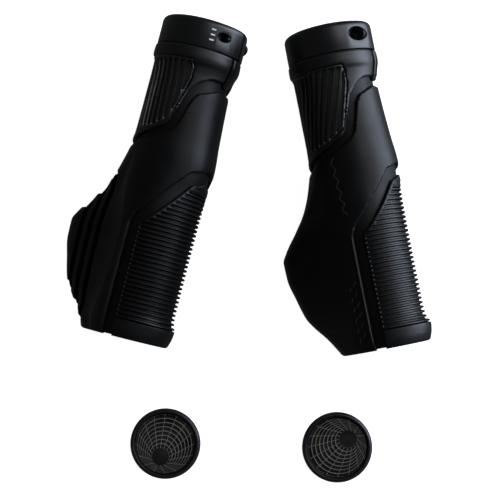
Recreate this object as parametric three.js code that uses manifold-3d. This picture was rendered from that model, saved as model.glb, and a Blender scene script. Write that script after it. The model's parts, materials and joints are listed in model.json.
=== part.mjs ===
// A mirrored pair of ergonomic lock-on bicycle grips and their two bar end plugs, laid out as a set
// on a flat surface. Millimetres, +Z up. The origin is on that surface, at the middle of the
// footprint of the whole set.
//
// Each grip is built in its own frame: x runs along the handlebar from the clamp end to the outer
// end, y points to the front, where the fingers lie, and z to the top. An angle round the bar is 0
// at the front, 90 at the top and 180 at the palm wing. The left grip mirrors the right one in z.
import * as THREE from "three";
import { mergeVertices } from "three/addons/utils/BufferGeometryUtils.js";
import Module from "manifold-3d";

const wasm = await Module();
wasm.setup();

// Driving dimensions
const BORE_RADIUS = 11.2; // slides on a 22.2 mm handlebar
const SLEEVE_RADIUS = 12.7;
const GRIP_LENGTH = 135;
const GAP = 0.3; // between pieces that touch on the real grip
const SKIN = 1.3; // thickness of the outer panels
const RING_LENGTH = 12.3;
const RING_RADIUS = 18;
const RING_EDGE = 2.5; // rounding of the ring's free edge
const RING_LOBE = 0.9; // extra height of the ring over its bolt
const LOBE_HALF_ANGLE = 42;
const SLIT_WIDTH = 1.2;
const KEY = { width: 5, length: 2.6 }; // two keys on the sleeve that stop the ring turning
const WING_TIP_RADIUS = 8;
const WING_DROOP = 3.7; // degrees that the wing points below straight back
const REST_RADIUS = 18.5; // the barrel's largest radius where it lies on the surface
const WING_REACH = 37.6;
const UNDERSIDE_SCOOP = 1.2;
const RECESS = { radius: 15, depth: 2.5 }; // seat of the bar end plug's cap

// The clamp bolt, M4, square to the slit
const BOLT = {
  x: 6, // from the ring's free end
  y: 15, // from the bar's axis
  shank: 1.7,
  head: 2.75,
  headHeight: 3.2,
  socketAcrossFlats: 3,
  socketDepth: 2,
  seat: 4.2, // height of the counterbore's floor over the slit's middle
  end: -8.4, // height of the shank's tip
  hole: 2,
  counterbore: 3.05,
};
const WASHER = { inner: 2, outer: 2.75, thickness: 0.5 };

// The bar end plug
const PLUG = {
  capRadius: 14.65,
  capHeight: 4,
  stemLength: 14,
  stemRadius: 8,
  barbRadius: 9.25,
  hollowRadius: 6,
  hollowDepth: 12,
  rim: 1.8, // width of the cap's rim
  faceDepth: 1.6, // depth of the recess that holds the face disc
};
const BARB_HEIGHTS = [3.5, 7, 10.5]; // the barbs' rims over the stem's free end

// Where the pieces lie: the point on each grip's axis at its clamp end, and the grip's heading
const RIGHT_GRIP = { x: 32.1, y: 92.1, heading: -79 };
const LEFT_GRIP = { x: -18, y: 94.3, heading: -104.2 };
const LEFT_PLUG = { x: -34.6, y: -80 };
const RIGHT_PLUG = { x: 36.5, y: -81.5 };

// Radii along the grip, as [x, radius], at the sides and at the front of the barrel
const SIDE_RADII = [
  [RING_LENGTH, 18.3], [16, REST_RADIUS], [18, 18.2], [20, 17.2], [25, 16.8], [36, 17.2],
  [48, 17.6], [60, 18.1], [90, 18.4], [126, REST_RADIUS], [131, 18.3], [GRIP_LENGTH, 17.3],
];
const FRONT_RADII = [
  [RING_LENGTH, 18.3], [16, REST_RADIUS], [24, 16.8], [30, 17], [48, 18.1], [60, 19.1],
  [66, 18.8], [72, 17.9], [100, 17.5], [120, 17.5], [124, 17.8], [128, 19.3], [131, 18.9],
  [GRIP_LENGTH, 17.6],
];
// How far the palm wing reaches from the axis, as [x, reach]
const WING_REACHES = [
  [48, 17.6], [56, 18], [64, 20.2], [72, 23.8], [80, 29.4], [88, 35.6], [92, WING_REACH],
  [99, 37.4], [108, 35.2], [117, 32.4], [121, 29.8], [128, 24], [GRIP_LENGTH, 19.4],
];

// Seams between the panels. The first two run round the bar, as [angle, x]: the collar's lower
// edge and the palm panel's upper edge. The others run along it, as [x, half angle]: the finger
// pad about the front, the palm panel's edge beside it, and the thumb window about the rear.
const COLLAR_EDGE = [
  [0, 23], [35, 24], [50, 26.5], [62, 30.5], [77, 44], [84, 46.8], [115, 51], [180, 57],
];
const PALM_EDGE = [
  [0, 27.5], [17, 27.5], [46, 30.8], [54, 33.5], [66, 45.5], [74, 48.6], [98, 52.5], [180, 60.5],
];
const FINGER_EDGE = [
  [65.5, 1], [66.5, 8], [68, 23], [85.4, 73], [87.5, 81.5], [GRIP_LENGTH, 81.5],
];
const PALM_SIDE = [[60.5, 1], [63, 30], [82, 84], [84, 90], [88, 95.5], [GRIP_LENGTH, 95.5]];
const THUMB_WINDOW = [[17.8, 118], [25, 118], [43.5, 102], [48, 80], [54.5, 2]];
const TONGUE = { halfAngle: 8.5, slotHalfAngle: 9.6, end: 25, proud: 0.7 };

// Stations of the coarse lattice that the skin and the core share
const STATIONS = [
  RING_LENGTH + GAP, 16, 19, 25, 40, 58, 66, 74, 82, 92, 105, 117, 128, 131, GRIP_LENGTH,
];
const HALF_ANGLES = [0, 20, 40, 60, 80, 100, 118, 134, 148, 160, 168, 180];

const MATERIALS = {
  rubber: new THREE.MeshStandardMaterial({ color: 0x1b1c1e, roughness: 0.75 }),
  plastic: new THREE.MeshStandardMaterial({ color: 0x141416, roughness: 0.5 }),
  gloss: new THREE.MeshStandardMaterial({ color: 0x1f1b1a, roughness: 0.3 }),
  alloy: new THREE.MeshStandardMaterial({ color: 0x18191c, roughness: 0.4, metalness: 0.8 }),
  steel: new THREE.MeshStandardMaterial({ color: 0x303236, roughness: 0.35, metalness: 1 }),
};

const radians = THREE.MathUtils.degToRad;

// The value at x of a line through [x, value] points.
function along(points, x) {
  const last = points.length - 1;
  if (x <= points[0][0]) return points[0][1];
  if (x >= points[last][0]) return points[last][1];
  const next = points.findIndex(([at]) => at > x);
  const [x0, y0] = points[next - 1];
  const [x1, y1] = points[next];
  return THREE.MathUtils.mapLinear(x, x0, x1, y0, y1);
}

// The grip's outline at x in the direction of an angle, inset by some depth: a barrel, and behind
// it a wing that droops a little and tapers to a rounded tip, its underside slightly scooped.
function outline(x, angle, inset = 0) {
  const fromFront = Math.abs(THREE.MathUtils.euclideanModulo(angle + 180, 360) - 180);
  const frontness = Math.max(0, Math.cos(radians(Math.min(fromFront, 75) * 1.2))) ** 2;
  const barrel = THREE.MathUtils.lerp(
    along(SIDE_RADII, x), along(FRONT_RADII, x), frontness) - inset;
  const reach = along(WING_REACHES, x);
  const spread = THREE.MathUtils.clamp((reach - barrel - inset) / 8, 0, 1);
  const tip = THREE.MathUtils.lerp(barrel, WING_TIP_RADIUS - inset, spread);
  const offset = reach - inset - tip;
  if (offset <= barrel - tip + 0.01) return barrel;
  const tangent = Math.acos((barrel - tip) / offset);
  const signed = THREE.MathUtils.euclideanModulo(angle - WING_DROOP, 360) - 180;
  const phi = radians(Math.abs(signed));
  if (phi >= tangent) return barrel;
  const tipEdge = Math.atan2(tip * Math.sin(tangent), offset + tip * Math.cos(tangent));
  if (phi <= tipEdge)
    return offset * Math.cos(phi) + Math.sqrt(tip ** 2 - (offset * Math.sin(phi)) ** 2);
  const scoop = signed > 0 ? spread * UNDERSIDE_SCOOP : 0;
  const share = (phi - tipEdge) / (tangent - tipEdge);
  return barrel / Math.cos(tangent - phi) - scoop * Math.sin(Math.PI * share);
}

const polar = (x, angle, radius) => [
  x, radius * Math.cos(radians(angle)), radius * Math.sin(radians(angle)),
];

// A closed solid over a lattice of rows along the bar and columns round it. point(row, column,
// layer) gives its corners, layer 0 the inner ones and layer 1 the outer ones.
function lattice(rows, columns, wraps, point) {
  const across = wraps ? columns : columns + 1;
  const positions = [];
  for (let row = 0; row <= rows; row++)
    for (let column = 0; column < across; column++)
      positions.push(...point(row, column, 0), ...point(row, column, 1));
  const at = (row, column, layer) => 2 * (row * across + (column % across)) + layer;
  const index = [];
  const quad = (a, b, c, d) => index.push(a, b, c, a, c, d);
  for (let r = 0; r < rows; r++)
    for (let c = 0; c < columns; c++) {
      quad(at(r, c, 1), at(r, c + 1, 1), at(r + 1, c + 1, 1), at(r + 1, c, 1));
      quad(at(r, c, 0), at(r + 1, c, 0), at(r + 1, c + 1, 0), at(r, c + 1, 0));
    }
  for (let c = 0; c < columns; c++) {
    quad(at(0, c, 0), at(0, c + 1, 0), at(0, c + 1, 1), at(0, c, 1));
    quad(at(rows, c, 0), at(rows, c, 1), at(rows, c + 1, 1), at(rows, c + 1, 0));
  }
  for (let r = 0; r < rows && !wraps; r++) {
    quad(at(r, 0, 0), at(r, 0, 1), at(r + 1, 0, 1), at(r + 1, 0, 0));
    quad(at(r, columns, 0), at(r + 1, columns, 0), at(r + 1, columns, 1), at(r, columns, 1));
  }
  const geometry = new THREE.BufferGeometry();
  geometry.setAttribute("position", new THREE.Float32BufferAttribute(positions, 3));
  geometry.setIndex(index);
  return solid(geometry);
}

// A geometry as a manifold-3d solid, and back.
function solid(geometry) {
  geometry.deleteAttribute("normal");
  geometry.deleteAttribute("uv");
  const merged = mergeVertices(geometry, 1e-4);
  return new wasm.Manifold(new wasm.Mesh({
    numProp: 3,
    vertProperties: merged.attributes.position.array,
    triVerts: new Uint32Array(merged.index.array),
  }));
}

function geometryOf(manifold) {
  const { vertProperties, triVerts } = manifold.getMesh();
  const geometry = new THREE.BufferGeometry();
  geometry.setAttribute("position", new THREE.BufferAttribute(vertProperties, 3));
  geometry.setIndex(new THREE.BufferAttribute(triVerts, 1));
  geometry.computeVertexNormals();
  return geometry;
}

// A turned solid about x, from a profile of [x, radius] corners.
function turned(profile, segments) {
  const points = profile.map(([x, radius]) => new THREE.Vector2(radius, x));
  const geometry = new THREE.LatheGeometry(points, segments);
  return solid(geometry.rotateZ(-Math.PI / 2));
}

function tube(inner, outer, start, end, segments) {
  return turned(
    [[start, inner], [start, outer], [end, outer], [end, inner], [start, inner]], segments);
}

// A straight round cutter or pin along z.
function pin(radius, low, high, segments, x, y) {
  const geometry = new THREE.CylinderGeometry(radius, radius, high - low, segments);
  return solid(geometry.rotateX(Math.PI / 2).translate(x, y, (low + high) / 2));
}

function box(x0, x1, y0, y1, z0, z1) {
  const geometry = new THREE.BoxGeometry(x1 - x0, y1 - y0, z1 - z0);
  return solid(geometry.translate((x0 + x1) / 2, (y0 + y1) / 2, (z0 + z1) / 2));
}

// All the angles of the shared lattice, once round the bar.
const ROUND = [...HALF_ANGLES, ...HALF_ANGLES.slice(1, -1).reverse().map((angle) => 360 - angle)];

// The wall between two insets of the outline, from one station to another.
function wall(outerInset, inner, stations) {
  return lattice(stations.length - 1, ROUND.length, true, (row, column, layer) => {
    const x = stations[row];
    const angle = ROUND[column];
    return polar(x, angle, layer ? outline(x, angle, outerInset) : inner(x, angle));
  });
}

const CUT = { inner: 8, outer: 60 }; // radii between which the cutters below reach

// All that lies between two seams that run round the bar, each a function of the angle.
function between(low, high) {
  const angles = [...new Set([...COLLAR_EDGE, ...PALM_EDGE].map(([angle]) => angle))];
  angles.sort((a, b) => a - b);
  const round = [...angles, ...angles.slice(1, -1).reverse().map((angle) => 360 - angle)];
  return lattice(1, round.length, true, (row, column, layer) => {
    const angle = round[column];
    const half = Math.min(angle, 360 - angle);
    return polar(row ? high(half) : low(half), angle, layer ? CUT.outer : CUT.inner);
  });
}

// All that lies within a half angle of a direction, the half angle given along the bar as
// [x, half angle] points, widened by a margin in millimetres.
function wedge(direction, points, margin = 0) {
  const columns = 8;
  const spread = THREE.MathUtils.radToDeg(margin / REST_RADIUS);
  const last = points.length - 1;
  return lattice(last, columns, false, (row, column, layer) => {
    const [x, half] = points[row];
    const width = Math.max(0.5, half + spread);
    const angle = direction + width * ((2 * column) / columns - 1);
    const shift = row === 0 ? -margin : row === last ? margin : 0;
    return polar(x + shift, angle, layer ? CUT.outer : CUT.inner);
  });
}

const PAST_END = GRIP_LENGTH + 5;
const panelWall = () => wall(0, (x, angle) => outline(x, angle, SKIN), STATIONS);

// The finger seam and the palm seam, run on past the end of the grip.
const runOut = (points) => [...points.slice(0, -1), [PAST_END, points.at(-1)[1]]];

function gripCore() {
  const end = GRIP_LENGTH - 0.6;
  const stations = STATIONS.map((x) => Math.min(x, end));
  const core = wall(SKIN + GAP, () => SLEEVE_RADIUS + GAP, stations);
  const seat = GRIP_LENGTH - RECESS.depth;
  return core.subtract(turned(
    [[seat, 0], [seat, RECESS.radius], [PAST_END, RECESS.radius], [PAST_END, 0]], 36));
}

function innerSleeve() {
  const end = GRIP_LENGTH - RECESS.depth;
  const body = tube(BORE_RADIUS, SLEEVE_RADIUS, RING_LENGTH + GAP, end, 32);
  const collar = tube(BORE_RADIUS + 0.2, SLEEVE_RADIUS - 0.2, RING_LENGTH + GAP - KEY.length,
    RING_LENGTH + 2 * GAP, 32);
  const keys = collar.intersect(
    box(0, RING_LENGTH + 2 * GAP, -KEY.width / 2, KEY.width / 2, -20, 20));
  return body.add(keys);
}

const collarCut = () => between(() => 0, (angle) => along(COLLAR_EDGE, angle));

function collarPanel() {
  const slot = wedge(0, [[5, TONGUE.slotHalfAngle], [TONGUE.end + 1, TONGUE.slotHalfAngle]]);
  return panelWall().intersect(collarCut()).subtract(wedge(180, THUMB_WINDOW)).subtract(slot);
}

const thumbRibPad = () => panelWall().intersect(wedge(180, THUMB_WINDOW, -GAP));

function palmPanel() {
  const below = between(() => 0, (angle) => along(PALM_EDGE, angle));
  return panelWall().subtract(below).subtract(wedge(0, runOut(PALM_SIDE)));
}

const fingerRibPad = () => panelWall().intersect(wedge(0, runOut(FINGER_EDGE)));

function frontTongue() {
  const stations = [RING_LENGTH + GAP, 16, 19, 23, TONGUE.end];
  const heights = [0.4, TONGUE.proud, TONGUE.proud, TONGUE.proud, 0];
  const columns = 4;
  return lattice(stations.length - 1, columns, false, (row, column, layer) => {
    const x = stations[row];
    const angle = TONGUE.halfAngle * ((2 * column) / columns - 1);
    return polar(x, angle, outline(x, angle, layer ? -heights[row] : SKIN));
  });
}

function clampRing() {
  const columns = 30;
  const rounding = [0, 30, 60, 90].map(radians).map((turn) => [
    RING_EDGE * (1 - Math.cos(turn)), RING_EDGE * (Math.sin(turn) - 1),
  ]);
  const edges = [...rounding, [RING_LENGTH - 0.4, 0], [RING_LENGTH, -0.4]];
  const ring = lattice(edges.length - 1, columns, true, (row, column, layer) => {
    const angle = (360 * column) / columns;
    const fromFront = Math.min(angle, 360 - angle) / LOBE_HALF_ANGLE;
    const lobe = fromFront < 1 ? RING_LOBE * Math.cos((Math.PI / 2) * fromFront) ** 2 : 0;
    const [x, step] = edges[row];
    return polar(x, angle, layer ? RING_RADIUS + lobe + step : BORE_RADIUS);
  });
  const wide = KEY.width / 2 + GAP;
  const keyEnd = RING_LENGTH - KEY.length - GAP;
  const keyRing = tube(BORE_RADIUS - 1, SLEEVE_RADIUS + GAP, keyEnd, RING_LENGTH + 1, 40);
  return ring
    .subtract(box(-1, RING_LENGTH + 1, 5, 25, -SLIT_WIDTH / 2, SLIT_WIDTH / 2))
    .subtract(pin(BOLT.hole, -20, 20, 20, BOLT.x, BOLT.y))
    .subtract(pin(BOLT.counterbore, BOLT.seat, 20, 28, BOLT.x, BOLT.y))
    .subtract(keyRing.intersect(box(0, RING_LENGTH + 2, -wide, wide, -20, 20)));
}

const HEAD_FOOT = BOLT.seat + WASHER.thickness + 2 * GAP;
const HEAD_TOP = HEAD_FOOT + BOLT.headHeight;

function clampBolt() {
  const shank = pin(BOLT.shank, BOLT.end, HEAD_FOOT + 0.5, 20, BOLT.x, BOLT.y);
  const head = pin(BOLT.head, HEAD_FOOT, HEAD_TOP, 24, BOLT.x, BOLT.y);
  const acrossCorners = BOLT.socketAcrossFlats / Math.cos(Math.PI / 6);
  const socket = pin(acrossCorners / 2, HEAD_TOP - BOLT.socketDepth, HEAD_TOP + 1, 6, BOLT.x, BOLT.y);
  return head.add(shank).subtract(socket);
}

function boltWasher() {
  const foot = BOLT.seat + GAP;
  const disc = pin(WASHER.outer, foot, foot + WASHER.thickness, 24, BOLT.x, BOLT.y);
  return disc.subtract(pin(WASHER.inner, foot - 1, foot + 2, 24, BOLT.x, BOLT.y));
}

const CAP_TOP = PLUG.stemLength + PLUG.capHeight;
const PLUG_SEGMENTS = 24;

// The plug is turned about z here, its stem's free end at z = 0.
function plugTurned(profile) {
  const points = profile.map(([radius, z]) => new THREE.Vector2(radius, z));
  return solid(new THREE.LatheGeometry(points, PLUG_SEGMENTS).rotateX(Math.PI / 2));
}

function plugBody() {
  const { capRadius, stemRadius, barbRadius, hollowRadius, rim, faceDepth } = PLUG;
  const barbs = BARB_HEIGHTS.flatMap((z) => [
    [stemRadius, z - 1.6], [barbRadius, z], [stemRadius, z + 0.7],
  ]);
  return plugTurned([
    [0, PLUG.hollowDepth], [hollowRadius, PLUG.hollowDepth], [hollowRadius, 0],
    [stemRadius, 0], ...barbs, [stemRadius, PLUG.stemLength],
    [capRadius - 0.3, PLUG.stemLength], [capRadius, CAP_TOP - 1.5], [capRadius - 1, CAP_TOP],
    [capRadius - rim, CAP_TOP], [capRadius - rim - 0.3, CAP_TOP - faceDepth],
    [0, CAP_TOP - faceDepth],
  ]);
}

function plugFace() {
  const radius = PLUG.capRadius - PLUG.rim - 2 * GAP;
  const foot = CAP_TOP - PLUG.faceDepth + GAP;
  return plugTurned([
    [0, foot], [radius, foot], [radius, CAP_TOP - 0.9], [radius - 0.4, CAP_TOP - 0.6],
    [0, CAP_TOP - 0.6],
  ]);
}

const GRIP_PIECES = {
  inner_sleeve: [innerSleeve, "plastic"],
  grip_core: [gripCore, "rubber"],
  collar_panel: [collarPanel, "rubber"],
  thumb_rib_pad: [thumbRibPad, "rubber"],
  palm_panel: [palmPanel, "rubber"],
  finger_rib_pad: [fingerRibPad, "rubber"],
  front_tongue: [frontTongue, "plastic"],
  clamp_ring: [clampRing, "alloy"],
  clamp_bolt: [clampBolt, "steel"],
  bolt_washer: [boltWasher, "steel"],
};
const PLUG_PIECES = { plug_body: [plugBody, "plastic"], plug_face: [plugFace, "gloss"] };

function pieces(side, made) {
  const group = new THREE.Group();
  for (const [name, [make, material]] of Object.entries(made)) {
    const mesh = new THREE.Mesh(geometryOf(make()), MATERIALS[material]);
    mesh.name = `${side}_${name}`;
    group.add(mesh);
  }
  return group;
}

// A grip lies on its barrel and on the tip of its wing, so it is rolled about its axis until the
// tip comes down to the surface. The right grip lies on its underside, the left one on its top.
const WING_SLOPE = Math.asin((REST_RADIUS - WING_TIP_RADIUS) / (WING_REACH - WING_TIP_RADIUS));

function grip(side, place, mirrored) {
  const rolled = pieces(side, GRIP_PIECES);
  if (mirrored) rolled.scale.z = -1;
  rolled.rotation.x = WING_SLOPE + radians(mirrored ? WING_DROOP : -WING_DROOP);
  const laid = new THREE.Group();
  laid.add(rolled);
  laid.rotation.z = radians(place.heading);
  laid.position.set(place.x, place.y, REST_RADIUS);
  return laid;
}

function plug(side, place) {
  const group = pieces(side, PLUG_PIECES);
  group.position.set(place.x, place.y, 0);
  return group;
}

const laidOut = new THREE.Group();
laidOut.add(
  grip("right", RIGHT_GRIP, false), grip("left", LEFT_GRIP, true),
  plug("left", LEFT_PLUG), plug("right", RIGHT_PLUG),
);
const bounds = new THREE.Box3().setFromObject(laidOut, true);
const middle = bounds.getCenter(new THREE.Vector3());
laidOut.position.set(-middle.x, -middle.y, -bounds.min.z);

const gripSet = new THREE.Group();
gripSet.add(laidOut);
export default gripSet;
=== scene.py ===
"""A pair of ergonomic bicycle grips and their bar end plugs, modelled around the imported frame."""

import json
import math

import bmesh
import bpy
import numpy as np
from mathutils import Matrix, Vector


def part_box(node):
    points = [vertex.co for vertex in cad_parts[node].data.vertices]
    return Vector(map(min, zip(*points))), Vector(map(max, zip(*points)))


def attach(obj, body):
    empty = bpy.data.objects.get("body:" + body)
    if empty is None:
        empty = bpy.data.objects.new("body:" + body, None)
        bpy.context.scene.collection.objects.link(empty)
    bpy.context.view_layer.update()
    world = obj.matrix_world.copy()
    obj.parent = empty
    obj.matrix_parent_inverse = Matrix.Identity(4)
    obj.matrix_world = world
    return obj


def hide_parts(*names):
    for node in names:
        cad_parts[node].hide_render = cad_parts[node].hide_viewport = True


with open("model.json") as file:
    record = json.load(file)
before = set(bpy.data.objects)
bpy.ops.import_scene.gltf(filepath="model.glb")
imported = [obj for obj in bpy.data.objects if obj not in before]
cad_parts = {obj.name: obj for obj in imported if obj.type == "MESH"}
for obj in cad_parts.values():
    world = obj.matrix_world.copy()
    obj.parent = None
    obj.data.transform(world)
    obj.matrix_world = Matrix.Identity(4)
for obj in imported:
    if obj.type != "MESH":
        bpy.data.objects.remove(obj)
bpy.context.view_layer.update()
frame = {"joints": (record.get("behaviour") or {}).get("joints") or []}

MM = 0.001
SCENE = bpy.context.scene
JOINTS = {joint["name"]: joint for joint in frame["joints"]}

# ---------------------------------------------------------------------------------------------
# The grip's dimensions, in millimetres. x runs along the bar from the clamp end. An angle round
# the bar is 0 at the front, 90 at the top and 180 at the palm wing.
# ---------------------------------------------------------------------------------------------
BORE = 11.2  # radius
SLEEVE = 12.7  # outer radius
LENGTH = 135.0
GAP = 0.3  # between pieces
SKIN = 1.3  # thickness of the raised skins
RING_LENGTH = 12.3
RING_RADIUS = 18.0
RING_EDGE = 2.5  # radius of the rounding round its face
RING_LOBE = 0.9  # how far it swells over the bolt
LOBE_HALF_ANGLE = 42.0
SLIT = 1.2
KEY_WIDTH = 5.0
KEY_LENGTH = 2.6
WING_TIP = 8.0  # radius
DROOP = 3.7  # degrees that the wing points below the horizontal
SCOOP = 1.2  # how hollow its underside is
SEAT_RADIUS = 15.0  # the seat of the bar end plug
SEAT_DEPTH = 2.5
BOLT_X = 6.0
BOLT_Y = 15.0
BOLT_SEAT = 4.2
BOLT_HOLE = 2.0  # radius
COUNTERBORE = 3.05  # radius
SHANK_RADIUS = 1.7
THREAD_ROOT = 1.42  # radius
THREAD_PITCH = 0.7
HEAD_RADIUS = 2.75
HEAD_HEIGHT = 3.2
SOCKET_FLATS = 3.0
SOCKET_DEPTH = 2.0
BOLT_END = -8.4
WASHER_THICKNESS = 0.5
WASHER_BORE = 2.0  # radius
HEAD_FOOT = BOLT_SEAT + WASHER_THICKNESS + 2 * GAP
MM_PER_DEGREE = math.pi / 180 * 17.8  # unrolls the barrel's skin

SIDE_RADII = [
    (RING_LENGTH, 18.3), (16, 18.5), (18, 18.2), (20, 17.2), (25, 16.8), (36, 17.2), (48, 17.6),
    (60, 18.1), (90, 18.4), (126, 18.5), (131, 18.3), (LENGTH, 17.3),
]
FRONT_RADII = [
    (RING_LENGTH, 18.3), (16, 18.5), (24, 16.8), (30, 17), (48, 18.1), (60, 19.1), (66, 18.8),
    (72, 17.9), (100, 17.5), (120, 17.5), (124, 17.8), (128, 19.3), (131, 18.9), (LENGTH, 17.6),
]
WING_REACHES = [
    (48, 17.6), (56, 18), (64, 20.2), (72, 23.8), (80, 29.4), (88, 35.6), (92, 37.6), (99, 37.4),
    (108, 35.2), (117, 32.4), (121, 29.8), (128, 24), (LENGTH, 19.4),
]

# Seams, as (angle, x) where they run round the bar and (x, half angle) where they run along it
COLLAR_EDGE = [(0, 23), (35, 24), (50, 26.5), (62, 30.5), (77, 44), (84, 46.8), (115, 51),
               (180, 57)]
PALM_EDGE = [(0, 27.5), (17, 27.5), (46, 30.8), (54, 33.5), (66, 45.5), (74, 48.6), (98, 52.5),
             (180, 60.5)]
FINGER_SIDE = 81.5  # half angle of the finger pad's long edge
PALM_RIDGE = 95.5  # half angle of the palm panel's long edge
FINGER_EDGE = [(65.5, 0), (66.5, 8), (68, 23), (85.4, 73), (87.5, FINGER_SIDE),
               (LENGTH, FINGER_SIDE)]
PALM_SIDE = [(60.5, 0), (63, 30), (82, 84), (84, 90), (88, PALM_RIDGE), (LENGTH, PALM_RIDGE)]
THUMB_TOP = 17.8
THUMB_SIDE = [(THUMB_TOP, 66), (21, 61.5), (25, 61.5), (43.5, 78), (48, 100), (54.5, 180)]
TONGUE_HALF = 8.5
TONGUE_SLOT = 9.6
TONGUE_END = 25.0


def along(points, x):
    """A smooth curve through (x, y) points, evaluated at x, that adds no bumps of its own."""
    px, py = np.array(points, float).T
    x = np.clip(np.asarray(x, float), px[0], px[-1])
    step, rise = np.diff(px), np.diff(py)
    slope = rise / step
    tangent = np.concatenate([slope[:1], np.zeros(len(px) - 2), slope[-1:]])
    same = slope[:-1] * slope[1:] > 0
    mean = 2 * slope[:-1] * slope[1:] / np.where(same, slope[:-1] + slope[1:], 1)
    tangent[1:-1] = np.where(same, mean, 0)
    i = np.clip(np.searchsorted(px, x, side="right") - 1, 0, len(step) - 1)
    t = (x - px[i]) / step[i]
    return (
        py[i] * (1 + 2 * t) * (1 - t) ** 2
        + py[i + 1] * t * t * (3 - 2 * t)
        + tangent[i] * step[i] * t * (1 - t) ** 2
        - tangent[i + 1] * step[i] * t * t * (1 - t)
    )


def straight(points, x):
    """A line through (x, y) points, evaluated at x."""
    px, py = np.array(points, float).T
    return np.interp(x, px, py)


def ramp(value, low, high):
    """0 below low, 1 above high, and smooth between them."""
    t = np.clip((value - low) / (high - low), 0, 1)
    return t * t * (3 - 2 * t)


def half_turn(angle):
    """The angle from the front, whichever way round."""
    return np.abs((np.asarray(angle, float) + 180) % 360 - 180)


def outline(x, angle, inset=0.0):
    """The grip's radius: a barrel, and behind it a drooping wing with a rounded tip."""
    half = half_turn(angle)
    frontness = np.cos(np.radians(np.minimum(half, 75) * 1.2)) ** 2
    side = along(SIDE_RADII, x)
    barrel = side + (along(FRONT_RADII, x) - side) * frontness - inset
    reach = along(WING_REACHES, x)
    spread = np.clip((reach - barrel - inset) / 8, 0, 1)
    tip = barrel + (WING_TIP - inset - barrel) * spread
    offset = np.maximum(reach - inset - tip, 1e-6)
    winged = offset > barrel - tip + 0.01
    tangent = np.arccos(np.clip((barrel - tip) / offset, -1, 1))
    signed = (np.asarray(angle, float) - DROOP) % 360 - 180
    phi = np.radians(np.abs(signed))
    tip_edge = np.arctan2(tip * np.sin(tangent), offset + tip * np.cos(tangent))
    on_tip = offset * np.cos(phi) + np.sqrt(np.maximum(tip**2 - (offset * np.sin(phi)) ** 2, 0))
    share = np.clip((phi - tip_edge) / np.maximum(tangent - tip_edge, 1e-6), 0, 1)
    flank = barrel / np.cos(np.clip(tangent - phi, -1.5, 1.5))
    flank = flank - np.where(signed > 0, spread * SCOOP, 0) * np.sin(math.pi * share)
    radius = np.where(phi <= tip_edge, on_tip, flank)
    return np.where(winged & (phi < tangent), radius, barrel)


# ---------------------------------------------------------------------------------------------
# Mesh making
# ---------------------------------------------------------------------------------------------
class Place:
    """A right- or left-handed frame of millimetres in the row's frame of metres."""

    def __init__(self, origin, axes, mirrored=False):
        self.origin = np.array(origin, float)
        self.axes = np.array(axes, float)  # one row per local axis
        self.mirrored = mirrored

    def row(self, points):
        """The points in the row's frame."""
        return self.origin + MM * np.asarray(points, float) @ self.axes


def grip_place(side):
    """The frame of a grip, worked out from its packed joints."""
    mirrored = side == "left"
    x = -Vector(JOINTS[f"{side}_ring_slide"]["axis"]).normalized()
    z = Vector(JOINTS[f"{side}_bolt_turn"]["axis"]).normalized()
    y = z.cross(x) * (-1 if mirrored else 1)
    origin = Vector(JOINTS[f"{side}_bolt_turn"]["pos_m"]) - MM * (BOLT_X * x + BOLT_Y * y)
    return Place(origin, (x, y, z), mirrored)


def polar(x, angle, radius):
    """Points at an angle and a radius round the bar."""
    turn = np.radians(angle)
    return np.stack([x + 0 * radius, radius * np.cos(turn), radius * np.sin(turn)], axis=-1)


def add_piece(name, place, points, quads, body, material, replaces=(), wear_and_highlight=None):
    """A mesh piece from points in a place's millimetres and quads that face out in a right hand."""
    quads = np.asarray(quads)
    if place.mirrored:
        quads = quads[:, ::-1]
    mesh = bpy.data.meshes.new(name)
    mesh.from_pydata(place.row(points).tolist(), [], quads.tolist())
    if wear_and_highlight is not None:
        layer = mesh.attributes.new("wear_and_highlight", "FLOAT", "POINT")
        layer.data.foreach_set("value", np.asarray(wear_and_highlight, np.float32))
    mesh.polygons.foreach_set("use_smooth", np.ones(len(mesh.polygons), bool))
    mesh.set_sharp_from_angle(angle=math.radians(50))
    mesh.materials.append(material)
    piece = bpy.data.objects.new(name, mesh)
    SCENE.collection.objects.link(piece)
    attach(piece, body)
    if replaces:
        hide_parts(*replaces)
    return piece


def nearest_on_seams(x, y, seams):
    """The distance from unrolled points to the nearest seam, and the nearest point on it."""
    best = np.full(x.shape, np.inf)
    near_x, near_y = x.copy(), y.copy()
    for seam in seams:
        for (ax, ay), (bx, by) in zip(seam, seam[1:]):
            dx, dy = bx - ax, by - ay
            t = np.clip(((x - ax) * dx + (y - ay) * dy) / (dx * dx + dy * dy), 0, 1)
            qx, qy = ax + t * dx, ay + t * dy
            distance = np.hypot(x - qx, y - qy)
            closer = distance < best
            best = np.where(closer, distance, best)
            near_x, near_y = np.where(closer, qx, near_x), np.where(closer, qy, near_y)
    return best, near_x, near_y


def unrolled(points, angle_first=False):
    """A seam's points as millimetres along the bar and round it."""
    return [(b, a * MM_PER_DEGREE) if angle_first else (a, b * MM_PER_DEGREE) for a, b in points]


def round_the_bar(*runs):
    """Angles all the way round, from runs of (start, end, step) over the first half turn."""
    half = np.concatenate([np.linspace(start, end, round((end - start) / step) + 1)[:-1]
                           for start, end, step in runs])
    return np.concatenate([half, [runs[-1][1]], 360 - half[:0:-1]])


def grid(xs, angles):
    """A lattice of positions along the bar and angles round it."""
    return np.meshgrid(xs, angles, indexing="ij")


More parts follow.
